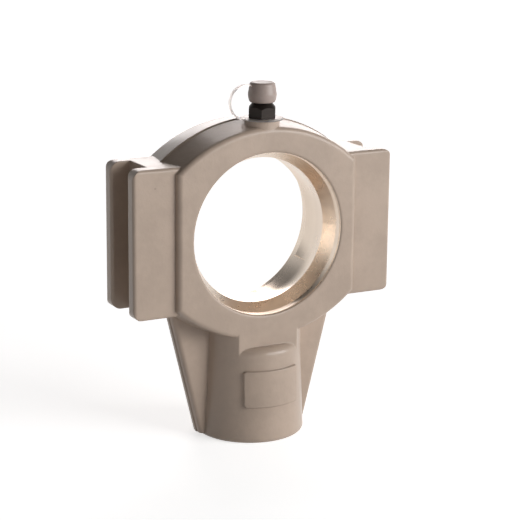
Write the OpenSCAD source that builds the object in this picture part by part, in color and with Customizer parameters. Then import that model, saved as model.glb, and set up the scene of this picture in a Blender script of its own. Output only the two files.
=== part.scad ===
// Take-up bearing housing: a bored head between two grooved guide rails, with a
// screw boss below and a capped grease nipple on top. Millimetres, +Z up, origin
// at the centre of the bearing seat, seat axis along Y, nipple side towards -Y.

/* [Guide rails] */
// Width over the outer edges of both rails
guide_span = 89; // [86:0.5:96]
// Length of each rail along the slide
guide_len = 46; // [42:0.5:52]
// Thickness of a rail over both flanges
guide_thick = 21; // [19:0.5:23]
// Width of the groove that takes the frame's rail
groove_width = 12; // [10:0.5:14]
// Depth of the groove
groove_depth = 6.5; // [4:0.25:8]
// Corner radius of a flange seen from the front
rail_corner_r = 3; // [1:0.25:5]
// Edge radius of a flange
rail_edge_r = 1; // [0.4:0.1:1.6]

/* [Head] */
// Width of the head between its side flats
head_width = 61.5; // [58:0.5:66]
// Height of the head over its arched ends
head_height = 66.4; // [62:0.2:72]
// Radius of the arched ends
head_arc_r = 45; // [40:0.5:55]
// Thickness of the head at its faces
head_thick = 25; // [23:0.5:29]
// Mould draft of the head's outer wall, in degrees
head_draft = 7; // [2:0.5:9]
// Edge radius of the head's faces
head_edge_r = 1.6; // [0.5:0.1:2.5]
// Height of the parting ridge on the arched ends and the webs
parting_rise = 0.25; // [0.1:0.05:0.5]
// Width of the parting ridge at its foot
parting_width = 0.9; // [0.5:0.1:1.5]

/* [Bearing seat] */
// Diameter of the spherical seat
seat_d = 47; // [46:0.1:48]
// Width of the spherical land
seat_land = 11; // [9:0.5:15]
// Diameter of the mouth at each face
mouth_d = 50.6; // [49.4:0.1:52]
// Depth of the mouth before it narrows to the land
mouth_depth = 3; // [2:0.25:4]
// Edge radius of the rim of each mouth
mouth_rim_r = 0.9; // [0.3:0.1:1.2]
// Width of the loading slots in the rear half of the seat
slot_width = 17.6; // [15:0.2:19]
// Direction of the loading slots, in degrees from +X
slot_angle = -55; // [-90:1:90]
// Radial room round the bearing in the loading slots
slot_clearance = 0.3; // [0.1:0.05:0.6]

/* [Screw boss] */
// Distance from the seat's centre to the boss end
boss_reach = 65.6; // [60:0.2:72]
// Distance from the seat's centre to the boss shoulder
boss_shoulder = 35.3; // [34.5:0.1:38]
// Diameter of the boss at its shoulder
boss_neck_d = 32.2; // [30:0.2:34]
// Diameter of the boss at its end
boss_end_d = 34.6; // [33:0.2:37]
// Edge radius of the boss end
boss_edge_r = 1.5; // [0.5:0.1:2.5]
// Edge radius of the boss shoulder
shoulder_r = 2.6; // [1:0.1:3.4]
// Diameter of the hole for the take-up screw
screw_d = 19; // [16:0.5:21]
// Depth of the screw hole
screw_depth = 27; // [20:0.5:29]
// Chamfer at the mouth of the screw hole
screw_chamfer = 1; // [0.5:0.1:1.5]
// Point angle of the drilled end of the screw hole
drill_point = 118; // [90:1:140]

/* [Side webs] */
// Thickness of the webs
web_thick = 6; // [4:0.5:9]
// Distance from the seat's centre to where the webs are widest
web_root_drop = 21.5; // [20.5:0.25:22.5]
// Width over the webs where they are widest
web_root_width = 58.7; // [52:0.1:60]
// Width over the webs at their lower end
web_end_width = 37.2; // [36:0.2:42]
// Distance the webs stop short of the boss end
web_end_gap = 1.25; // [1:0.25:6]
// Edge radius of the webs
web_edge_r = 1.4; // [0.5:0.1:1.8]

/* [Plate] */
// Width of the raised bare plate on the boss
plate_width = 18.6; // [14:0.2:22]
// Height of the plate
plate_height = 11.6; // [8:0.2:15]
// Distance from the seat's centre to the plate's middle
plate_drop = 48; // [46:0.25:52]
// Rise of the plate's face above the boss
plate_rise = 0.7; // [0.4:0.1:1.6]
// Corner radius of the plate
plate_corner_r = 0.9; // [0.3:0.1:2]

/* [Nipple pad] */
// Distance of the nipple's axis from the head's middle plane
nipple_offset = 7; // [0:0.25:7.5]
// Diameter of the pad
pad_d = 10.75; // [10:0.25:13]
// Rise of the pad above the crest of the head
pad_rise = 0.2; // [0.1:0.05:1.5]
// Diameter of the tapped hole
tapped_d = 6; // [6:0.5:8]
// Depth of the tapped hole
tapped_depth = 7.5; // [6.5:0.25:8.5]
// Diameter of the grease hole into the seat
grease_hole_d = 2.5; // [1.5:0.1:3]

/* [Grease nipple] */
// Radial room between the nipple's thread and its hole
thread_clearance = 0.05; // [0.02:0.01:0.1]
// Length of the threaded shank below the pad
shank_len = 6; // [5:0.25:6.25]
// Width of the hexagon across its flats
hex_af = 8; // [8:0.5:10]
// Height of the hexagon
hex_height = 4.5; // [3.5:0.1:6]
// Diameter of the hexagon's turned top
hex_top_d = 6.2; // [5.6:0.1:7.4]
// Slope of the turned top of the hexagon, in degrees
hex_slope = 50; // [30:1:60]
// Diameter of the neck above the hexagon
neck_d = 4.6; // [4.4:0.1:5.2]
// Length of the neck
neck_len = 1; // [0.6:0.1:1.6]
// Largest diameter of the nipple's head
tip_d = 6; // [5.8:0.1:6.2]
// Diameter of the flat on the nipple's tip
tip_flat_d = 4.4; // [4:0.1:5]
// Height of the nipple's head above the neck
tip_height = 4.3; // [3.6:0.1:5]
// Height of the widest part of the nipple's head above the neck
tip_belt = 1.5; // [1:0.1:2]
// Diameter of the opening that the ball closes
orifice_d = 1.6; // [1.2:0.1:1.9]
// Wall left at the crimped foot of the nipple's bore
crimp_len = 0.8; // [0.5:0.1:1.2]

/* [Check valve] */
// Diameter of the check ball
ball_d = 2.4; // [2:0.1:2.8]
// Radial room of the ball in the nipple's bore
ball_clearance = 0.08; // [0.02:0.01:0.1]
// Room left between the ball and the parts it meets
ball_gap = 0.05; // [0.02:0.01:0.1]
// Half angle of the cone that the ball seals against, in degrees
valve_cone = 45; // [35:1:55]
// Diameter of the spring's wire
wire_d = 0.32; // [0.2:0.02:0.4]
// Turns of the spring
spring_turns = 10; // [6:1:14]

/* [Dust cap] */
// Largest diameter of the cap
cap_d = 8.8; // [8.4:0.1:9.5]
// Diameter of the cap's lower rim
cap_rim_d = 7.1; // [7.1:0.1:8.2]
// Height of the cap's widest belt above its rim
cap_belt = 2.6; // [1:0.1:3.5]
// Diameter of the cap's top
cap_top_d = 7.9; // [7:0.1:8.4]
// Thickness of the cap's top
cap_roof = 0.6; // [0.5:0.1:1]
// Edge radius of the cap's top
cap_edge_r = 0.8; // [0.3:0.1:1.2]
// Room between the cap and the nipple
cap_clearance = 0.2; // [0.1:0.05:0.2]

/* [Cap strap] */
// Outer diameter of the ring under the hexagon
ring_d = 13; // [10:0.1:13.6]
// Room between the ring and the nipple's thread
ring_clearance = 0.2; // [0.1:0.05:0.4]
// Width of the strap
strap_width = 1.2; // [0.8:0.1:3]
// Thickness of the ring and the strap
strap_thick = 0.5; // [0.3:0.05:0.8]
// Reach of the strap's bow from the nipple's axis
strap_reach = 11.25; // [10:0.25:14]
// Room between the strap's end and the cap
strap_gap = 0.12; // [0.05:0.01:0.2]

/* [Hidden] */

$fn = 96;
// Overlap that keeps cutters clear of the faces they cut
cut = 1;
// Straight steps in a rounded edge of a profile
edge_steps = 6;
// Straight steps along the bow of the strap
bow_steps = 40;

// Head
half_thick = head_thick / 2;
arc_drop = head_arc_r - head_height / 2;
head_crest = head_height / 2 + drafted_reach(0, head_thick, head_edge_r, head_draft);
// Seat
seat_r = seat_d / 2;
land_r = sqrt(seat_r * seat_r - seat_land * seat_land / 4);
mouth_r = mouth_d / 2;
// Boss
boss_neck_r = boss_neck_d / 2;
boss_end_r = boss_end_d / 2;
// Nipple stack, from the pad upwards
pad_top = head_crest + parting_rise + pad_rise;
hex_foot = pad_top + strap_thick;
hex_top = hex_foot + hex_height;
tip_foot = hex_top + neck_len;
tip_top = tip_foot + tip_height;
shank_r = tapped_d / 2 - thread_clearance;
shank_foot = pad_top - shank_len;
// Check valve, from the tip downwards
ball_r = ball_d / 2;
orifice_r = orifice_d / 2;
valve_r = ball_r + ball_clearance;
cone_apex = (ball_r + ball_gap) / sin(valve_cone);
ball_z = tip_top - cone_apex + orifice_r / tan(valve_cone);
cone_foot = ball_z + cone_apex - valve_r / tan(valve_cone);
spring_foot = shank_foot + crimp_len;
spring_top = ball_z - ball_r - ball_gap;
// Dust cap
cap_foot = hex_top + cap_clearance;
cap_cavity_r = tip_d / 2 + cap_clearance;
cap_cavity_top = ball_z + ball_r + cap_clearance;
cap_top = cap_cavity_top + cap_roof;
// Strap bow, a round arc that leaves the ring level and ends at the cap's side
cap_taper = (cap_d - cap_top_d) / 2 / (cap_top - cap_edge_r - cap_foot - cap_belt);
cap_side = cap_top_d / 2 + strap_thick * cap_taper;
strap_end = [-cap_side - strap_gap, cap_top - cap_edge_r - strap_thick / 2];
bow_out = strap_reach - strap_thick / 2 + strap_end[0];
bow_up = strap_end[1] - pad_top - strap_thick / 2;
bow_r = bow_out + bow_up - sqrt(2 * bow_out * bow_up);
bow_centre = [strap_end[0] - bow_out + bow_r, pad_top + strap_thick / 2 + bow_r];

paint = [0.68, 0.61, 0.56];
blackened = [0.16, 0.14, 0.13];
bright_steel = [0.75, 0.76, 0.78];
natural_plastic = [0.86, 0.82, 0.78];

// Extra reach of a drafted wall at the middle plane over its nominal half size
function drafted_reach(half, thick, edge, draft) =
    half - edge + edge * cos(draft) + tan(draft) * (thick / 2 - edge + edge * sin(draft));

// One drafted wall with rounded edges, from the front face to the rear face
function drafted_wall(half, thick, edge, draft) = concat(
    [for (i = [0:edge_steps])
        let (a = -90 + (90 - draft) * i / edge_steps)
        [half - edge + edge * cos(a), -thick / 2 + edge + edge * sin(a)]],
    [[drafted_reach(half, thick, edge, draft), 0]],
    [for (i = [edge_steps:-1:0])
        let (a = 90 - (90 - draft) * i / edge_steps)
        [half - edge + edge * cos(a), thick / 2 - edge + edge * sin(a)]]
);

// Same points in the opposite order
function reversed(points) = [for (i = [len(points) - 1:-1:0]) points[i]];

// Mirror image of a list of points, in the opposite order
function mirrored(points) = [for (point = reversed(points)) [-point[0], point[1]]];

// Rectangle with round corners, centred
module round_rect(w, h, r) {
    square([w - 2 * r, h], center = true);
    square([w, h - 2 * r], center = true);
    for (x = [-1, 1], y = [-1, 1])
        translate([x * (w / 2 - r), y * (h / 2 - r)])
            circle(r);
}

// Solid made from an outline in the XZ plane, centred on the middle plane
module across(thick) {
    rotate([90, 0, 0])
        linear_extrude(height = thick, center = true)
            children();
}

// Solid turned about the seat's axis from an outline of radius against depth
module turned_on_seat() {
    rotate([-90, 0, 0])
        rotate_extrude($fn = 180)
            children();
}

// One arched end of the head: a drafted disc with a parting ridge
module arch_disc() {
    wall = drafted_wall(head_arc_r, head_thick, head_edge_r, head_draft);
    crest_r = drafted_reach(head_arc_r, head_thick, head_edge_r, head_draft);
    turned_on_seat()
        polygon(concat([[0, -half_thick]], wall, [[0, half_thick]]));
    turned_on_seat()
        polygon([
            [0, -parting_width / 2],
            [crest_r - parting_width * tan(head_draft), -parting_width / 2],
            [crest_r + parting_rise, -parting_width / 6],
            [crest_r + parting_rise, parting_width / 6],
            [crest_r - parting_width * tan(head_draft), parting_width / 2],
            [0, parting_width / 2]
        ]);
}

// Head: two arched discs that cross, between drafted side flats
module head() {
    wall = drafted_wall(head_width / 2, head_thick, head_edge_r, head_draft);
    intersection() {
        translate([0, 0, -arc_drop])
            arch_disc();
        translate([0, 0, arc_drop])
            arch_disc();
        linear_extrude(height = 2 * head_height, center = true)
            polygon(concat(wall, mirrored(wall)));
    }
}

// Guide rail on the +X side, with its groove open outwards
module rail() {
    root = head_width / 2 - head_edge_r - cut;
    run = guide_span / 2 - root;
    flange = (guide_thick - groove_width) / 2;
    intersection() {
        linear_extrude(height = guide_len, center = true) {
            translate([root, -guide_thick / 2])
                square([run - groove_depth, guide_thick]);
            for (side = [-1, 1])
                translate([root + run / 2, side * (guide_thick - flange) / 2])
                    round_rect(run, flange, rail_edge_r);
        }
        translate([root, 0, 0])
            across(guide_thick)
                round_rect(2 * run, guide_len, rail_corner_r);
        rotate([90, 0, 90])
            linear_extrude(height = guide_span)
                round_rect(guide_thick, guide_len, rail_edge_r);
    }
}

// Both side webs: plates with rounded slanting edges and a parting ridge
module webs() {
    end_drop = boss_reach - web_end_gap;
    height = end_drop - web_root_drop;
    slant = atan2((web_root_width - web_end_width) / 2, height);
    reach = boss_neck_r;
    over = reach * tan(slant);
    intersection() {
        for (side = [-1, 1])
            translate([side * web_end_width / 2, 0, -end_drop])
                rotate([0, side * slant, 0])
                    translate([0, 0, -over])
                        linear_extrude(height = height / cos(slant) + 2 * over) {
                            translate([-side * reach / 2, 0])
                                round_rect(reach, web_thick, web_edge_r);
                            square([2 * parting_rise, parting_width], center = true);
                        }
        translate([-web_root_width, -web_thick, -end_drop])
            cube([2 * web_root_width, 2 * web_thick, height]);
    }
}

// Boss: a drafted round with rounded end and shoulder, and a neck flush with the head
module boss() {
    draft = atan2(boss_end_r - boss_neck_r, boss_reach - boss_shoulder);
    rotate_extrude($fn = 144)
        polygon(concat(
            [[0, -boss_reach]],
            [for (i = [0:edge_steps])
                let (a = -90 + (90 - draft) * i / edge_steps)
                [boss_end_r - boss_edge_r * (1 - cos(a)), -boss_reach + boss_edge_r * (1 + sin(a))]],
            [for (i = [0:edge_steps])
                let (a = -draft + (90 + draft) * i / edge_steps)
                [boss_neck_r - shoulder_r * (1 - cos(a)), -boss_shoulder - shoulder_r * (1 - sin(a))]],
            [[0, -boss_shoulder]]
        ));
    intersection() {
        translate([0, 0, -boss_shoulder - shoulder_r])
            cylinder(r = boss_neck_r, h = boss_shoulder + shoulder_r - land_r - mouth_depth, $fn = 144);
        cube([boss_end_d, head_thick, 2 * boss_reach], center = true);
    }
}

// Bare raised plate that follows the front of the boss
module plate() {
    intersection() {
        translate([0, 0, -boss_reach])
            cylinder(
                r1 = boss_end_r + plate_rise,
                r2 = boss_neck_r + plate_rise,
                h = boss_reach - boss_shoulder,
                $fn = 144
            );
        translate([0, 0, -plate_drop])
            rotate([90, 0, 0])
                linear_extrude(height = boss_end_d)
                    round_rect(plate_width, plate_height, plate_corner_r);
    }
}

// Space of the seat: sphere, narrowing throats, mouths and rounded rims
module seat_space() {
    throat = half_thick - mouth_depth - seat_land / 2;
    rim = [for (i = [0:edge_steps])
        let (a = 90 * i / edge_steps)
        [mouth_r + mouth_rim_r * (1 - cos(a)), half_thick - mouth_rim_r * (1 - sin(a))]];
    rotate([90, 0, 0])
        sphere(seat_r, $fn = 180);
    for (side = [-90, 90])
        rotate([side, 0, 0]) {
            translate([0, 0, seat_land / 2])
                cylinder(r1 = land_r, r2 = mouth_r, h = throat, $fn = 180);
            translate([0, 0, half_thick - mouth_depth])
                cylinder(r = mouth_r, h = mouth_depth + cut, $fn = 180);
            rotate_extrude($fn = 180)
                polygon(concat(
                    [[0, half_thick - mouth_rim_r]],
                    rim,
                    [[mouth_r + mouth_rim_r, half_thick + cut], [0, half_thick + cut]]
                ));
        }
}

// Loading slots: the rear half of the seat opened as wide as the bearing is thick
module loading_slots() {
    slot_r = seat_r + slot_clearance;
    intersection() {
        rotate([-90, 0, 0])
            cylinder(r = slot_r, h = half_thick + cut, $fn = 180);
        rotate([0, -slot_angle, 0])
            translate([-slot_r - cut, -cut, -slot_width / 2])
                cube([2 * (slot_r + cut), half_thick + 3 * cut, slot_width]);
    }
}

// Blind screw hole from the boss end, with a drilled point
module screw_space() {
    screw_r = screw_d / 2;
    point = screw_r / tan(drill_point / 2);
    translate([0, 0, -boss_reach - cut])
        cylinder(r = screw_r, h = screw_depth + cut);
    translate([0, 0, -boss_reach + screw_depth])
        cylinder(r1 = screw_r, r2 = 0, h = point);
    translate([0, 0, -boss_reach - cut])
        cylinder(r1 = screw_r + screw_chamfer + cut, r2 = screw_r, h = screw_chamfer + cut);
}

// Tapped hole under the nipple, and a grease hole that leans back to the seat's land
module nipple_space() {
    drop = pad_top - tapped_depth - land_r;
    lean = atan2(nipple_offset - seat_land / 4, drop);
    translate([0, -nipple_offset, pad_top - tapped_depth]) {
        cylinder(d = tapped_d, h = tapped_depth + cut, $fn = 48);
        rotate([180 + lean, 0, 0])
            translate([0, 0, -cut])
                cylinder(d = grease_hole_d, h = drop / cos(lean) + 2 * cut, $fn = 32);
    }
}

// Pad under the nipple, cut flush with the face of the head
module pad() {
    foot = land_r + mouth_depth;
    intersection() {
        translate([0, -nipple_offset, foot])
            cylinder(d = pad_d, h = pad_top - foot, $fn = 64);
        cube([2 * pad_d, head_thick, 2 * head_height], center = true);
    }
}

// The casting
module housing() {
    color(paint)
        difference() {
            union() {
                head();
                rail();
                mirror([1, 0, 0])
                    rail();
                webs();
                boss();
                plate();
                pad();
            }
            seat_space();
            loading_slots();
            screw_space();
            nipple_space();
        }
}

// Hexagon with its top turned to a cone
module nipple_hexagon() {
    top_r = hex_top_d / 2;
    intersection() {
        cylinder(r = hex_af / 2 / cos(30), h = hex_height, $fn = 6);
        cylinder(r1 = top_r + hex_height / tan(hex_slope), r2 = top_r, h = hex_height);
    }
}

// Nipple body: shank, hexagon, neck and bulbous head, bored for ball and spring
module grease_nipple() {
    color(blackened)
        translate([0, -nipple_offset, 0])
            difference() {
                union() {
                    translate([0, 0, shank_foot])
                        cylinder(r = shank_r, h = hex_foot - shank_foot, $fn = 48);
                    translate([0, 0, hex_foot])
                        nipple_hexagon();
                    translate([0, 0, hex_top - cut])
                        cylinder(d = neck_d, h = neck_len + cut, $fn = 48);
                    translate([0, 0, tip_foot])
                        cylinder(d1 = neck_d, d2 = tip_d, h = tip_belt, $fn = 48);
                    translate([0, 0, tip_foot + tip_belt])
                        cylinder(d1 = tip_d, d2 = tip_flat_d, h = tip_height - tip_belt, $fn = 48);
                }
                translate([0, 0, spring_foot])
                    cylinder(r = valve_r, h = cone_foot - spring_foot, $fn = 48);
                translate([0, 0, cone_foot])
                    cylinder(r1 = valve_r, r2 = orifice_r, h = tip_top - cone_foot, $fn = 48);
                translate([0, 0, shank_foot - cut])
                    cylinder(r = orifice_r, h = tip_top - shank_foot + 2 * cut, $fn = 32);
            }
}

// Check ball
module nipple_ball() {
    color(bright_steel)
        translate([0, -nipple_offset, ball_z])
            sphere(ball_r, $fn = 48);
}

// Coil spring, a round wire swept along a helix
module nipple_spring() {
    wire_sides = 6;
    turn_steps = 14;
    wire_r = wire_d / 2;
    coil_r = ball_r - wire_r;
    rise = spring_top - spring_foot - wire_d;
    steps = spring_turns * turn_steps;
    points = [for (i = [0:steps], k = [0:wire_sides - 1])
        let (
            turn = 360 * i / turn_steps,
            round = 360 * k / wire_sides,
            reach = coil_r + wire_r * cos(round)
        )
        [reach * cos(turn), reach * sin(turn), wire_r + rise * i / steps + wire_r * sin(round)]];
    walls = [for (i = [0:steps - 1], k = [0:wire_sides - 1])
        let (next = (k + 1) % wire_sides, row = i * wire_sides, above = row + wire_sides)
        [row + k, row + next, above + next, above + k]];
    start_face = [for (k = [wire_sides - 1:-1:0]) k];
    end_face = [for (k = [0:wire_sides - 1]) steps * wire_sides + k];
    color(bright_steel)
        translate([0, -nipple_offset, spring_foot])
            polyhedron(points, concat(walls, [start_face, end_face]));
}

// Dust cap: a barrel with a plain socket for the nipple's head
module dust_cap() {
    rim_r = cap_rim_d / 2;
    swell = cap_d / 2 - rim_r;
    color(natural_plastic)
        translate([0, -nipple_offset, 0])
            difference() {
                rotate_extrude($fn = 96)
                    polygon(concat(
                        [[0, cap_foot]],
                        [for (i = [0:edge_steps])
                            let (a = 90 * i / edge_steps)
                            [rim_r + swell * sin(a), cap_foot + cap_belt * (1 - cos(a))]],
                        [for (i = [0:edge_steps])
                            let (a = 90 * i / edge_steps, c = cap_top_d / 2 - cap_edge_r)
                            [c + cap_edge_r * cos(a), cap_top - cap_edge_r + cap_edge_r * sin(a)]],
                        [[0, cap_top]]
                    ));
                translate([0, 0, cap_foot - cut])
                    cylinder(r = cap_cavity_r, h = cap_cavity_top - cap_foot + cut, $fn = 64);
            }
}

// One edge of the strap's bow, from its level start to its end at the cap
function bow_edge(r, end_turn) = [for (i = [0:bow_steps])
    let (a = 270 + (end_turn - 270) * i / bow_steps)
    [bow_centre[0] + r * cos(a), bow_centre[1] + r * sin(a)]];

// Strap: a ring under the hexagon, a level tongue and a bowed band up to the cap
module cap_strap() {
    end_turn = atan2(strap_end[1] - bow_centre[1], strap_end[0] - bow_centre[0]);
    underside = bow_edge(bow_r + strap_thick / 2, end_turn);
    topside = bow_edge(bow_r - strap_thick / 2, end_turn);
    color(natural_plastic)
        translate([0, -nipple_offset, 0])
            difference() {
                union() {
                    translate([0, 0, pad_top])
                        cylinder(d = ring_d, h = strap_thick, $fn = 64);
                    across(strap_width)
                        polygon(concat(
                            [[0, pad_top + strap_thick], [0, pad_top]],
                            underside,
                            reversed(topside)
                        ));
                }
                translate([0, 0, pad_top - cut])
                    cylinder(r = shank_r + ring_clearance, h = strap_thick + 2 * cut, $fn = 48);
            }
}

housing();
grease_nipple();
nipple_ball();
nipple_spring();
dust_cap();
cap_strap();
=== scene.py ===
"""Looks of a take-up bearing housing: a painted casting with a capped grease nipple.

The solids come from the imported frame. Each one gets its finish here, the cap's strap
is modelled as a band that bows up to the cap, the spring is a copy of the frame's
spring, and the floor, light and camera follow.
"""

import logging
import math
from dataclasses import dataclass
from enum import Enum

import bpy
from mathutils import Matrix, Vector


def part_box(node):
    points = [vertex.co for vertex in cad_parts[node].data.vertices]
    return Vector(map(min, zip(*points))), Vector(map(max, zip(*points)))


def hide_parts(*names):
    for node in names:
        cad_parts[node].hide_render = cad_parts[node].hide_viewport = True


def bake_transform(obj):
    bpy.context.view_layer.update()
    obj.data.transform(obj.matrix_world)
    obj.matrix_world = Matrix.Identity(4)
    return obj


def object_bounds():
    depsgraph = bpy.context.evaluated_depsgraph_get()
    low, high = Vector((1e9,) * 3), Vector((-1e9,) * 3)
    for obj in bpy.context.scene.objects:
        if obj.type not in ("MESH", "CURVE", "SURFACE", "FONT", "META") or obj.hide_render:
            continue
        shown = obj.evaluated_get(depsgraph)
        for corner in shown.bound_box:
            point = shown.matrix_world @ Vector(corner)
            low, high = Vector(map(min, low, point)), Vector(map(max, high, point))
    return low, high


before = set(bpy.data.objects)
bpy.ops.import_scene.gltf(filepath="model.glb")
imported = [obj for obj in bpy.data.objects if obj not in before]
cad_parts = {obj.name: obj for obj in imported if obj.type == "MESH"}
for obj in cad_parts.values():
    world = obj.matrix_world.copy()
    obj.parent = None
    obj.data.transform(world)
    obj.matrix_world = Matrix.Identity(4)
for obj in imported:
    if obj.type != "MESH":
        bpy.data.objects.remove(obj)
CAD_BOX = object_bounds()

LOG = logging.getLogger("take_up_housing")
MM = 0.001

Colour = tuple[float, float, float, float]
Value = float | tuple[float, ...] | bpy.types.NodeSocket


class Body(Enum):
    """Moving bodies of the frame."""

    CASTING = "casting"
    CAP = "cap"
    BALL = "ball"


class Slot(Enum):
    """Material slots of the record."""

    PAINT = "housing_paint"
    NIPPLE = "nipple_steel"
    VALVE = "valve_steel"
    PLASTIC = "cap_plastic"


class Tree:
    """A shader node tree that is filled node by node."""

    def __init__(self, tree: bpy.types.NodeTree) -> None:
        """Keep the tree that is filled."""
        self.tree = tree

    def feed(self, socket: bpy.types.NodeSocket, value: Value) -> None:
        """Link a socket to another one, or set its own value."""
        if isinstance(value, bpy.types.NodeSocket):
            self.tree.links.new(value, socket)
        else:
            socket.default_value = value

    def add(
        self, kind: str, inputs: dict[str | int, Value] | None = None, **options: object
    ) -> bpy.types.Node:
        """Add a node.

        Args:
            kind: Blender's name of the node type.
            inputs: a value or a source socket for each named or numbered input.
            options: settings of the node itself.

        Returns:
            The new node.
        """
        node = self.tree.nodes.new(kind)
        for name, value in options.items():
            setattr(node, name, value)
        for key, value in (inputs or {}).items():
            self.feed(node.inputs[key], value)
        return node

    def math(self, operation: str, *values: Value) -> bpy.types.NodeSocket:
        """Add a math node and return its result."""
        inputs = dict(enumerate(values))
        return self.add("ShaderNodeMath", inputs, operation=operation).outputs[0]

    def ramp(self, value: Value, low: float, high: float) -> bpy.types.NodeSocket:
        """Map a value smoothly from low to high onto 0 to 1."""
        inputs = {"Value": value, "From Min": low, "From Max": high}
        node = self.add("ShaderNodeMapRange", inputs, interpolation_type="SMOOTHSTEP")
        return node.outputs["Result"]

    def between(self, share: Value, low: float, high: float) -> bpy.types.NodeSocket:
        """Map a share from 0 to 1 onto a plain range."""
        inputs = {"Value": share, "To Min": low, "To Max": high}
        return self.add("ShaderNodeMapRange", inputs).outputs["Result"]

    def blend(self, share: Value, first: Value, second: Value) -> bpy.types.NodeSocket:
        """Mix two colours by a share."""
        inputs = {0: share, 6: first, 7: second}
        return self.add("ShaderNodeMix", inputs, data_type="RGBA").outputs[2]

    def turn(self, share: Value, first: Value, second: Value) -> bpy.types.NodeSocket:
        """Mix two directions by a share."""
        inputs = {0: share, 4: first, 5: second}
        return self.add("ShaderNodeMix", inputs, data_type="VECTOR").outputs[1]

    def noise(self, place: Value, scale: Value, detail: float) -> bpy.types.NodeSocket:
        """Add a noise texture and return its value."""
        inputs = {"Vector": place, "Scale": scale, "Detail": detail}
        return self.add("ShaderNodeTexNoise", inputs).outputs[0]


class SurfaceGroup:
    """A surface effect that several finishes share, as one shader node group."""

    title = ""
    inputs: dict[str, float] = {}
    outputs: tuple[str, ...] = ()

    def tree(self) -> bpy.types.NodeTree:
        """Return the group, building it the first time it is asked for."""
        known = bpy.data.node_groups.get(self.title)
        if known is not None:
            return known
        group = bpy.data.node_groups.new(self.title, "ShaderNodeTree")
        group.interface.new_socket("Place", in_out="INPUT", socket_type="NodeSocketVector")
        for name, value in self.inputs.items():
            socket = group.interface.new_socket(name, in_out="INPUT", socket_type="NodeSocketFloat")
            socket.default_value = value
        for name in self.outputs:
            group.interface.new_socket(name, in_out="OUTPUT", socket_type="NodeSocketFloat")
        tree = Tree(group)
        source = tree.add("NodeGroupInput")
        target = tree.add("NodeGroupOutput")
        for name, result in self.results(tree, source).items():
            tree.feed(target.inputs[name], result)
        return group

    def results(self, tree: Tree, source: bpy.types.Node) -> dict[str, bpy.types.NodeSocket]:
        """Fill the group and return its results by output name."""
        raise NotImplementedError

    def put(self, tree: Tree, place: Value, **values: float) -> bpy.types.NodeOutputs:
        """Place the group in a material.

        Args:
            tree: the material's node tree.
            place: where on the surface the effect is looked up.
            values: the group's own inputs by name.

        Returns:
            The outputs of the placed group.
        """
        node = tree.add("ShaderNodeGroup", node_tree=self.tree())
        tree.feed(node.inputs["Place"], place)
        for name, value in values.items():
            node.inputs[name].default_value = value
        return node.outputs


class CastSkin(SurfaceGroup):
    """Skin of a painted casting: sand grain, orange peel and slow waves."""

    title = "cast_skin"
    inputs = {"Grain": 1500.0, "Peel": 420.0, "Wave": 70.0}
    outputs = ("Height", "Mottle")
    grain_share = 0.42
    peel_share = 0.6
    wave_share = 1.6
    mottle_peel = 0.4
    mottle_from = (0.5, 0.95)

    def results(self, tree: Tree, source: bpy.types.Node) -> dict[str, bpy.types.NodeSocket]:
        """Fill the group and return its results by output name."""
        place = source.outputs["Place"]
        grain = tree.noise(place, source.outputs["Grain"], detail=2.0)
        peel = tree.noise(place, source.outputs["Peel"], detail=1.5)
        wave = tree.noise(place, source.outputs["Wave"], detail=1.0)
        fine = tree.math("MULTIPLY", grain, self.grain_share)
        rough = tree.math("MULTIPLY_ADD", peel, self.peel_share, fine)
        height = tree.math("MULTIPLY_ADD", wave, self.wave_share, rough)
        patches = tree.math("MULTIPLY_ADD", peel, self.mottle_peel, wave)
        mottle = tree.ramp(patches, *self.mottle_from)
        return {"Height": height, "Mottle": mottle}


class Specks(SurfaceGroup):
    """Sparse round specks, such as pits in a casting or grit under paint."""

    title = "specks"
    inputs = {"Scale": 160.0, "Size": 0.09, "Share": 0.06}
    outputs = ("Mask",)
    core_share = 0.5

    def results(self, tree: Tree, source: bpy.types.Node) -> dict[str, bpy.types.NodeSocket]:
        """Fill the group and return its results by output name."""
        inputs = {"Vector": source.outputs["Place"], "Scale": source.outputs["Scale"]}
        cells = tree.add("ShaderNodeTexVoronoi", inputs)
        draw = tree.add("ShaderNodeSeparateColor", {"Color": cells.outputs["Color"]}).outputs[0]
        chosen = tree.math("LESS_THAN", draw, source.outputs["Share"])
        core = tree.math("MULTIPLY", source.outputs["Size"], self.core_share)
        inputs = {
            "Value": cells.outputs["Distance"],
            "From Min": source.outputs["Size"],
            "From Max": core,
        }
        spot = tree.add("ShaderNodeMapRange", inputs, interpolation_type="SMOOTHSTEP")
        return {"Mask": tree.math("MULTIPLY", spot.outputs["Result"], chosen)}


class TurnedRings(SurfaceGroup):
    """Fine rings that a turning tool leaves along the Z axis of its place."""

    title = "turned_rings"
    inputs = {"Pitch": 9000.0, "Drift": 350.0}
    outputs = ("Height", "Streak")
    wander = 6.0

    def results(self, tree: Tree, source: bpy.types.Node) -> dict[str, bpy.types.NodeSocket]:
        """Fill the group and return its results by output name."""
        parts = tree.add("ShaderNodeSeparateXYZ", {0: source.outputs["Place"]})
        level = tree.add("ShaderNodeCombineXYZ", {2: parts.outputs["Z"]}).outputs[0]
        drift = tree.noise(level, source.outputs["Drift"], detail=2.0)
        turn = tree.math("MULTIPLY", parts.outputs["Z"], source.outputs["Pitch"])
        phase = tree.math("MULTIPLY_ADD", drift, self.wander, turn)
        return {"Height": tree.math("SINE", phase), "Streak": drift}


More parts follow.
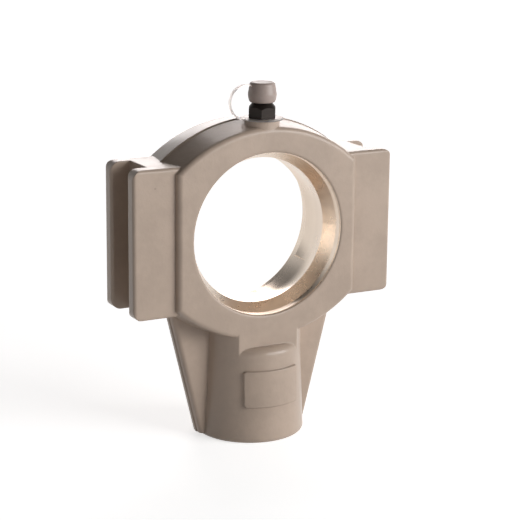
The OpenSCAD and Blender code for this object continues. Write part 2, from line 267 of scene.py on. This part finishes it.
@dataclass(frozen=True)
class Finish:
    """What every finish has: its name, its colour and the record's slot."""

    name: str
    slot: Slot
    colour: Colour

    def material(self) -> bpy.types.Material:
        """Return the finish as a material, building it the first time."""
        known = bpy.data.materials.get(self.name)
        if known is not None:
            return known
        made = bpy.data.materials.new(self.name)
        made.use_nodes = True
        made.node_tree.nodes.clear()
        tree = Tree(made.node_tree)
        place = tree.add("ShaderNodeTexCoord").outputs["Object"]
        shader = tree.add("ShaderNodeBsdfPrincipled")
        output = tree.add("ShaderNodeOutputMaterial")
        tree.feed(output.inputs["Surface"], shader.outputs["BSDF"])
        self.dress(tree, place, shader)
        return made

    def dress(self, tree: Tree, place: Value, shader: bpy.types.Node) -> None:
        """Fill the shader's inputs."""
        raise NotImplementedError

    def tinted(self, factor: float) -> Colour:
        """Return the colour lightened or darkened by a factor."""
        red, green, blue, alpha = self.colour
        return (red * factor, green * factor, blue * factor, alpha)

    def put_on(self, piece: bpy.types.Object) -> None:
        """Make this the only material of a piece."""
        piece.data.materials.clear()
        piece.data.materials.append(self.material())


@dataclass(frozen=True)
class SatinPaint(Finish):
    """Satin paint over a fine cast skin, with bare metal where the seat was turned."""

    bare_metal: Colour
    seat_radius: float
    seat_half_depth: float
    mottle: tuple[float, float] = (0.94, 1.05)
    pit_strength: float = 0.45
    pit_shade: float = 0.45
    streak_strength: float = 0.3
    streak_shade: float = 0.8
    roughness: tuple[float, float] = (0.33, 0.43)
    seat_smoothness: float = 0.1
    specular: float = 0.36
    coat: float = 0.16
    coat_roughness: float = 0.16
    skin_depth: float = 0.075 * MM
    rings_depth: float = 0.0015 * MM
    rings_pitch: float = 12000.0
    rings_drift: float = 240.0
    edge_radius: float = 0.6 * MM
    edge_samples: int = 6

    def dress(self, tree: Tree, place: Value, shader: bpy.types.Node) -> None:
        """Fill the shader's inputs."""
        turned = self._turned_mask(tree, place)
        skin = CastSkin().put(tree, place)
        upright = tree.add("ShaderNodeMapping", {0: place, "Rotation": (math.pi / 2, 0, 0)})
        rings = TurnedRings().put(
            tree, upright.outputs[0], Pitch=self.rings_pitch, Drift=self.rings_drift
        )
        paint = self._paint(tree, place, skin["Mottle"])
        streaks = tree.math("MULTIPLY", rings["Streak"], self.streak_strength)
        metal = tree.blend(streaks, self.bare_metal, self.tinted(self.streak_shade))
        tree.feed(shader.inputs["Base Color"], tree.blend(turned, paint, metal))
        tree.feed(shader.inputs["Metallic"], turned)
        satin = tree.between(skin["Mottle"], *self.roughness)
        smoothed = tree.math("MULTIPLY_ADD", turned, -self.seat_smoothness, satin)
        tree.feed(shader.inputs["Roughness"], smoothed)
        shader.inputs["Specular IOR Level"].default_value = self.specular
        shader.inputs["Coat Weight"].default_value = self.coat
        shader.inputs["Coat Roughness"].default_value = self.coat_roughness
        normal = self._normal(tree, turned, skin["Height"], rings["Height"])
        tree.feed(shader.inputs["Normal"], normal)

    def _paint(self, tree: Tree, place: Value, mottle: Value) -> bpy.types.NodeSocket:
        """Return the colour of the paint, with its slow patches and its pits."""
        low, high = self.mottle
        patches = tree.blend(mottle, self.tinted(low), self.tinted(high))
        pits = tree.math("MULTIPLY", Specks().put(tree, place)["Mask"], self.pit_strength)
        return tree.blend(pits, patches, self.tinted(self.pit_shade))

    def _normal(
        self, tree: Tree, turned: Value, skin: Value, rings: Value
    ) -> bpy.types.NodeSocket:
        """Return the direction of the surface.

        Args:
            tree: the material's node tree.
            turned: the mask of the turned seat.
            skin: the height of the cast skin, which covers all but the seat.
            rings: the height of the tool rings, which lie in the seat.

        Returns:
            The normal, with softened edges outside the seat.
        """
        soft = tree.add(
            "ShaderNodeBevel", {"Radius": self.edge_radius}, samples=self.edge_samples
        )
        plain = tree.add("ShaderNodeNewGeometry")
        cast = tree.math("SUBTRACT", 1.0, turned)
        skin_bump = tree.add(
            "ShaderNodeBump",
            {
                "Height": tree.math("MULTIPLY", skin, cast),
                "Distance": self.skin_depth,
                "Normal": tree.turn(turned, soft.outputs[0], plain.outputs["Normal"]),
            },
        )
        rings_bump = tree.add(
            "ShaderNodeBump",
            {
                "Height": tree.math("MULTIPLY", rings, turned),
                "Distance": self.rings_depth,
                "Normal": skin_bump.outputs[0],
            },
        )
        return rings_bump.outputs[0]

    def _turned_mask(self, tree: Tree, place: Value) -> bpy.types.NodeSocket:
        """Return 1 inside the turned seat and its mouths, and 0 elsewhere."""
        parts = tree.add("ShaderNodeSeparateXYZ", {0: place})
        across = tree.add(
            "ShaderNodeCombineXYZ", {0: parts.outputs["X"], 1: parts.outputs["Z"]}
        ).outputs[0]
        reach = tree.add("ShaderNodeVectorMath", {0: across}, operation="LENGTH").outputs["Value"]
        depth = tree.math("ABSOLUTE", parts.outputs["Y"])
        near = tree.math("LESS_THAN", reach, self.seat_radius)
        inside = tree.math("LESS_THAN", depth, self.seat_half_depth)
        return tree.math("MULTIPLY", near, inside)


@dataclass(frozen=True)
class TurnedSteel(Finish):
    """Turned steel with fine tool rings: bright, or made dark as painted shade."""

    metallic: float
    specular: float
    roughness: tuple[float, float]
    cloud: tuple[float, float] = (0.75, 1.3)
    cloud_scale: float = 260.0
    speck_strength: float = 0.5
    speck_shade: float = 0.55
    rings_depth: float = 0.004 * MM

    def dress(self, tree: Tree, place: Value, shader: bpy.types.Node) -> None:
        """Fill the shader's inputs."""
        rings = TurnedRings().put(tree, place)
        specks = Specks().put(tree, place, Scale=900.0, Size=0.25, Share=0.2)
        cloud = tree.noise(place, self.cloud_scale, detail=3.0)
        dark, light = self.cloud
        shade = tree.blend(cloud, self.tinted(dark), self.tinted(light))
        spots = tree.math("MULTIPLY", specks["Mask"], self.speck_strength)
        dulled = tree.blend(spots, shade, self.tinted(self.speck_shade))
        tree.feed(shader.inputs["Base Color"], dulled)
        shader.inputs["Metallic"].default_value = self.metallic
        shader.inputs["Specular IOR Level"].default_value = self.specular
        tree.feed(shader.inputs["Roughness"], tree.between(rings["Streak"], *self.roughness))
        bump = tree.add(
            "ShaderNodeBump", {"Height": rings["Height"], "Distance": self.rings_depth}
        )
        tree.feed(shader.inputs["Normal"], bump.outputs[0])


@dataclass(frozen=True)
class NaturalPlastic(Finish):
    """Soft moulded plastic that lets some light through."""

    clear: float = 0.0
    roughness: tuple[float, float] = (0.4, 0.52)
    mottle: tuple[float, float] = (0.95, 1.04)
    speck_strength: float = 0.3
    speck_shade: float = 0.6
    scatter: float = 0.25
    scatter_spread: tuple[float, float, float] = (1.0, 0.8, 0.65)
    scatter_depth: float = 0.8 * MM
    skin_depth: float = 0.012 * MM

    def dress(self, tree: Tree, place: Value, shader: bpy.types.Node) -> None:
        """Fill the shader's inputs."""
        skin = CastSkin().put(tree, place, Grain=5200.0, Peel=1500.0, Wave=420.0)
        specks = Specks().put(tree, place, Scale=700.0, Size=0.12, Share=0.05)
        dark, light = self.mottle
        shade = tree.blend(skin["Mottle"], self.tinted(dark), self.tinted(light))
        spots = tree.math("MULTIPLY", specks["Mask"], self.speck_strength)
        dusty = tree.blend(spots, shade, self.tinted(self.speck_shade))
        tree.feed(shader.inputs["Base Color"], dusty)
        tree.feed(shader.inputs["Roughness"], tree.between(skin["Mottle"], *self.roughness))
        shader.inputs["Transmission Weight"].default_value = self.clear
        shader.inputs["Subsurface Weight"].default_value = self.scatter
        shader.inputs["Subsurface Radius"].default_value = self.scatter_spread
        shader.inputs["Subsurface Scale"].default_value = self.scatter_depth
        bump = tree.add(
            "ShaderNodeBump", {"Height": skin["Height"], "Distance": self.skin_depth}
        )
        tree.feed(shader.inputs["Normal"], bump.outputs[0])


WARM_PAINT = SatinPaint(
    name="warm_grey_paint",
    slot=Slot.PAINT,
    colour=(0.475, 0.372, 0.298, 1.0),
    bare_metal=(0.82, 0.7, 0.585, 1.0),
    seat_radius=25.9 * MM,
    seat_half_depth=12.2 * MM,
)
# The nipple's steel is made near black as painted shade: its darkness stands for the nipple lying
# in shade, not for a blackened finish.
SHADE_DARKENED_STEEL = TurnedSteel(
    name="steel_darkened_for_shade",
    slot=Slot.NIPPLE,
    colour=(0.024, 0.018, 0.015, 1.0),
    metallic=0.4,
    specular=0.25,
    roughness=(0.3, 0.5),
)
BRIGHT_STEEL = TurnedSteel(
    name="bright_steel",
    slot=Slot.VALVE,
    colour=(0.55, 0.56, 0.58, 1.0),
    metallic=1.0,
    specular=0.5,
    roughness=(0.16, 0.3),
)
CAP_PLASTIC = NaturalPlastic(
    name="natural_plastic",
    slot=Slot.PLASTIC,
    colour=(0.4, 0.32, 0.285, 1.0),
)
THIN_PLASTIC = NaturalPlastic(
    name="thin_natural_plastic",
    slot=Slot.PLASTIC,
    colour=(0.96, 0.9, 0.87, 1.0),
    clear=0.9,
)


class Workbench:
    """Blender's operators, as used on one piece at a time."""

    @staticmethod
    def clear() -> None:
        """Leave edit mode and deselect everything."""
        if bpy.context.object is not None and bpy.context.object.mode != "OBJECT":
            bpy.ops.object.mode_set(mode="OBJECT")
        bpy.ops.object.select_all(action="DESELECT")

    @staticmethod
    def take(piece: bpy.types.Object) -> None:
        """Make a piece the only selected one."""
        Workbench.clear()
        piece.select_set(True)
        bpy.context.view_layer.objects.active = piece

    @staticmethod
    def start(name: str) -> bpy.types.Object:
        """Name the primitive that was just added and put its place into its mesh."""
        piece = bpy.context.object
        piece.name = name
        bpy.ops.object.transform_apply(location=True, rotation=True, scale=True)
        return piece

    @staticmethod
    def apply(piece: bpy.types.Object, kind: str, **settings: object) -> None:
        """Add a modifier to a piece and apply it.

        Args:
            piece: the piece that is changed.
            kind: Blender's name of the modifier type.
            settings: settings of the modifier.
        """
        Workbench.take(piece)
        modifier = piece.modifiers.new(kind.lower(), kind)
        for name, value in settings.items():
            setattr(modifier, name, value)
        bpy.ops.object.modifier_apply(modifier=modifier.name)


@dataclass
class Casting:
    """The painted housing."""

    node: str = "housing"

    def build(self) -> list[bpy.types.Object]:
        """Dress the housing and return it."""
        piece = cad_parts[self.node]
        WARM_PAINT.put_on(piece)
        return [piece]


@dataclass
class GreasePoint:
    """The nipple with its check ball and the spring under the ball."""

    nipple: str = "grease_nipple"
    ball: str = "nipple_ball"
    spring: str = "nipple_spring"
    end_coil: float = 1.0 * MM

    def build(self) -> list[bpy.types.Object]:
        """Dress the nipple, its ball and its spring and return them."""
        nipple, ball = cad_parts[self.nipple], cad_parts[self.ball]
        spring = self._pressed_spring()
        # The nipple gets the steel that is made dark as painted shade.
        SHADE_DARKENED_STEEL.put_on(nipple)
        BRIGHT_STEEL.put_on(ball)
        BRIGHT_STEEL.put_on(spring)
        return [nipple, ball, spring]

    def _pressed_spring(self) -> bpy.types.Object:
        """Return a copy of the spring as a piece of its own, with the frame's spring hidden."""
        spring = bpy.data.objects.new("valve_spring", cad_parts[self.spring].data.copy())
        bpy.context.scene.collection.objects.link(spring)
        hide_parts(self.spring)
        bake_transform(spring)
        return spring


@dataclass
class CapAndStrap:
    """The dust cap and the band that ties it to the nipple."""

    cap: str = "dust_cap"
    strap: str = "cap_strap"
    thickness: float = 0.5 * MM
    band_share: float = 0.94
    width: float = 1.2 * MM
    bore_radius: float = 3.15 * MM
    sunk: float = 0.75 * MM
    below_top: float = 1.05 * MM
    edge_radius: float = 0.12 * MM
    edge_steps: int = 3
    bow_steps: int = 72
    ring_steps: int = 96
    flat_normal: float = 0.5
    smooth_angle: float = math.radians(35)

    def __post_init__(self) -> None:
        """Read the places of the ring and the cap from the frame."""
        low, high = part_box(self.strap)
        cap_low, cap_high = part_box(self.cap)
        self.axis_y = (low.y + high.y) / 2
        self.ring_radius = (high.y - low.y) / 2
        self.ring_level = low.z + self.thickness / 2
        self.reach = -low.x - self.thickness / 2
        self.end = Vector((cap_low.x + self.sunk, cap_high.z - self.below_top))
        out = self.reach + self.end.x
        rise = self.end.y - self.ring_level
        self.bow_radius = out + rise - math.sqrt(2 * out * rise)
        self.bow_centre = Vector(
            (-self.reach + self.bow_radius, self.axis_y, self.ring_level + self.bow_radius)
        )

    def build(self) -> list[bpy.types.Object]:
        """Dress the cap, model the strap and return both."""
        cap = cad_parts[self.cap]
        CAP_PLASTIC.put_on(cap)
        strap = self._band()
        ring = self._ring()
        Workbench.apply(strap, "BOOLEAN", operation="UNION", object=ring, solver="EXACT")
        bpy.data.objects.remove(ring)
        strap.name = "strap_band"
        Workbench.take(strap)
        bpy.ops.object.shade_smooth_by_angle(angle=self.smooth_angle)
        THIN_PLASTIC.put_on(strap)
        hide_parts(self.strap)
        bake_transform(strap)
        return [cap, strap]

    def _band(self) -> bpy.types.Object:
        """Model the tongue and the bow and return them as one piece."""
        Workbench.clear()
        bpy.ops.mesh.primitive_plane_add(
            size=1.0,
            location=(self.bow_centre.x, self.axis_y, self.ring_level),
            rotation=(0, math.pi / 2, 0),
        )
        bpy.context.object.scale = (self.thickness * self.band_share, self.width, 1)
        band = Workbench.start("strap_band")
        bpy.ops.object.mode_set(mode="EDIT")
        bpy.ops.mesh.select_all(action="SELECT")
        bpy.ops.mesh.delete(type="ONLY_FACE")
        bpy.ops.mesh.select_all(action="SELECT")
        bpy.ops.mesh.bevel(
            affect="VERTICES",
            offset_type="OFFSET",
            offset=self.edge_radius,
            segments=self.edge_steps,
        )
        bpy.ops.mesh.select_all(action="SELECT")
        turn = math.atan2(self.end.y - self.bow_centre.z, self.end.x - self.bow_centre.x)
        bpy.ops.mesh.spin(
            steps=self.bow_steps,
            angle=1.5 * math.pi - turn,
            center=self.bow_centre,
            axis=(0, -1, 0),
        )
        bpy.ops.object.mode_set(mode="OBJECT")
        self._select_open_end(band)
        bpy.ops.object.mode_set(mode="EDIT")
        tongue = -self.bow_centre.x - (self.bore_radius + self.ring_radius) / 2
        bpy.ops.mesh.extrude_region_move(TRANSFORM_OT_translate={"value": (tongue, 0, 0)})
        bpy.ops.mesh.select_all(action="SELECT")
        bpy.ops.mesh.fill_holes(sides=0)
        bpy.ops.mesh.select_all(action="SELECT")
        bpy.ops.mesh.normals_make_consistent(inside=False)
        bpy.ops.object.mode_set(mode="OBJECT")
        return band

    def _select_open_end(self, band: bpy.types.Object) -> None:
        """Select the loop of the band where the bow leaves the tongue."""
        for edge in band.data.edges:
            ends = [band.data.vertices[i].co for i in edge.vertices]
            edge.select = all(
                abs(end.x - self.bow_centre.x) < self.edge_radius / 4
                and end.z < self.bow_centre.z
                for end in ends
            )
        bpy.context.tool_settings.mesh_select_mode = (False, True, False)

    def _ring(self) -> bpy.types.Object:
        """Model the flat ring under the hexagon and return it."""
        Workbench.clear()
        bpy.ops.mesh.primitive_cylinder_add(
            vertices=self.ring_steps,
            radius=self.ring_radius,
            depth=self.thickness,
            location=(0, self.axis_y, self.ring_level),
        )
        ring = Workbench.start("strap_ring")
        for face in ring.data.polygons:
            face.select = abs(face.normal.z) > self.flat_normal
        bpy.context.tool_settings.mesh_select_mode = (False, False, True)
        bpy.ops.object.mode_set(mode="EDIT")
        bpy.ops.mesh.inset(thickness=self.ring_radius - self.bore_radius)
        bpy.ops.mesh.bridge_edge_loops()
        bpy.ops.object.mode_set(mode="OBJECT")
        Workbench.apply(
            ring,
            "BEVEL",
            width=self.edge_radius,
            segments=self.edge_steps,
            limit_method="ANGLE",
        )
        return ring


@dataclass(frozen=True)
class Lamp:
    """A soft rectangular lamp that faces the object.

    The level is how bright it makes a white surface that faces it.
    """

    name: str
    azimuth: float
    elevation: float
    distance: float
    size: tuple[float, float]
    level: float
    colour: tuple[float, float, float] = (1.0, 1.0, 1.0)

    def build(self, target: Vector) -> None:
        """Add the lamp to the scene, aimed at a point."""
        turn = math.radians(self.azimuth)
        tilt = math.radians(self.elevation)
        away = Vector(
            (
                math.sin(turn) * math.cos(tilt),
                -math.cos(turn) * math.cos(tilt),
                math.sin(tilt),
            )
        )
        data = bpy.data.lights.new(self.name, "AREA")
        data.shape = "RECTANGLE"
        data.size, data.size_y = self.size
        data.color = self.colour
        data.energy = self.level * (math.pi * self.distance) ** 2
        lamp = bpy.data.objects.new(self.name, data)
        lamp.location = target + away * self.distance
        lamp.rotation_euler = away.to_track_quat("Z", "Y").to_euler()
        bpy.context.scene.collection.objects.link(lamp)


@dataclass
class Studio:
    """A pale floor, a pale surrounding and plain soft light."""

    lamps: tuple[Lamp, ...] = (
        Lamp(
            name="key_softbox",
            azimuth=40.0,
            elevation=15.0,
            distance=1.5,
            size=(1.2, 0.7),
            level=0.86,
        ),
        Lamp(
            name="back_softbox",
            azimuth=150.0,
            elevation=23.0,
            distance=3.0,
            size=(2.0, 2.4),
            level=0.5,
            colour=(1.0, 0.93, 0.91),
        ),
    )
    ambient: float = 0.3
    ceiling: float = 0.06
    ceiling_from: tuple[float, float] = (10.0, 38.0)
    floor_colour: Colour = (0.86, 0.86, 0.86, 1.0)
    floor_glow: float = 0.68
    floor_size: float = 12.0

    def build(self) -> None:
        """Add the floor, the surrounding and the lamps."""
        low, high = CAD_BOX
        self._floor(low.z)
        self._world()
        for lamp in self.lamps:
            lamp.build((low + high) / 2)
        bpy.context.scene.view_settings.view_transform = "Standard"

    @staticmethod
    def _seen(tree: Tree) -> bpy.types.NodeSocket:
        """Return 1 for camera, glossy and transmitted rays, and 0 for others."""
        path = tree.add("ShaderNodeLightPath").outputs
        mirrored = tree.math("MAXIMUM", path["Is Glossy Ray"], path["Is Transmission Ray"])
        return tree.math("MAXIMUM", path["Is Camera Ray"], mirrored)

    def _floor(self, level: float) -> None:
        """Add the floor that the housing stands on."""
        Workbench.clear()
        bpy.ops.mesh.primitive_plane_add(size=self.floor_size, location=(0, 0, level))
        floor = bpy.context.object
        floor.name = "floor"
        material = bpy.data.materials.new("pale_floor")
        material.use_nodes = True
        material.node_tree.nodes.clear()
        tree = Tree(material.node_tree)
        matt = tree.add("ShaderNodeBsdfDiffuse", {"Color": self.floor_colour})
        strength = tree.math("MULTIPLY", self._seen(tree), self.floor_glow)
        glow = tree.add("ShaderNodeEmission", {"Strength": strength})
        both = tree.add("ShaderNodeAddShader", {0: matt.outputs[0], 1: glow.outputs[0]})
        output = tree.add("ShaderNodeOutputMaterial")
        tree.feed(output.inputs["Surface"], both.outputs[0])
        floor.data.materials.append(material)

    def _world(self) -> None:
        """Make the surrounding white to look at, dimmer as a light and darker overhead."""
        world = bpy.data.worlds.new("pale_surrounding")
        world.use_nodes = True
        world.node_tree.nodes.clear()
        bpy.context.scene.world = world
        tree = Tree(world.node_tree)
        way = tree.add("ShaderNodeTexCoord").outputs["Generated"]
        rise = tree.add("ShaderNodeSeparateXYZ", {0: way}).outputs["Z"]
        low, high = (math.sin(math.radians(angle)) for angle in self.ceiling_from)
        fade = tree.between(tree.ramp(rise, low, high), 1.0, self.ceiling)
        level = tree.between(self._seen(tree), self.ambient, 1.0)
        sky = tree.add("ShaderNodeBackground", {"Strength": tree.math("MULTIPLY", level, fade)})
        sky.inputs["Color"].default_value = (1.0, 1.0, 1.0, 1.0)
        output = tree.add("ShaderNodeOutputWorld")
        tree.feed(output.inputs["Surface"], sky.outputs[0])


@dataclass(frozen=True)
class ProductCamera:
    """The camera, placed by its angles round the object."""

    yaw: float = 28.244
    pitch: float = 14.015
    roll: float = 0.586
    distance: float = 0.5625
    target: tuple[float, float, float] = (3.55 * MM, 0.0, -11.15 * MM)
    focal_px: float = 1790.0
    frame_px: float = 520.0
    sensor: float = 36.0

    def build(self) -> None:
        """Add the camera and make it the scene's own."""
        yaw, pitch = math.radians(self.yaw), math.radians(self.pitch)
        back = Vector(
            (
                -math.sin(yaw) * math.cos(pitch),
                -math.cos(yaw) * math.cos(pitch),
                math.sin(pitch),
            )
        )
        level = Vector((math.cos(yaw), -math.sin(yaw), 0.0))
        upright = back.cross(level)
        turned = Matrix((level, upright, back)).transposed().to_4x4()
        data = bpy.data.cameras.new("product_camera")
        data.sensor_width = self.sensor
        data.lens = self.sensor * self.focal_px / self.frame_px
        camera = bpy.data.objects.new("product_camera", data)
        rolled = turned @ Matrix.Rotation(math.radians(self.roll), 4, "Z")
        camera.matrix_world = (
            Matrix.Translation(Vector(self.target) + back * self.distance) @ rolled
        )
        bpy.context.scene.collection.objects.link(camera)
        bpy.context.scene.camera = camera


def main() -> None:
    """Build the camera, the pieces and the studio, and report each piece."""
    logging.basicConfig(level=logging.INFO, format="%(name)s: %(message)s")
    ProductCamera().build()
    for assembly in (Casting(), GreasePoint(), CapAndStrap()):
        for piece in assembly.build():
            low, high = (Vector(piece.bound_box[i]) for i in (0, 6))
            size = " x ".join(f"{side / MM:.1f}" for side in high - low)
            LOG.info("%s: %s, %s mm", type(assembly).__name__, piece.name, size)
    Studio().build()


if __name__ == "__main__":
    main()
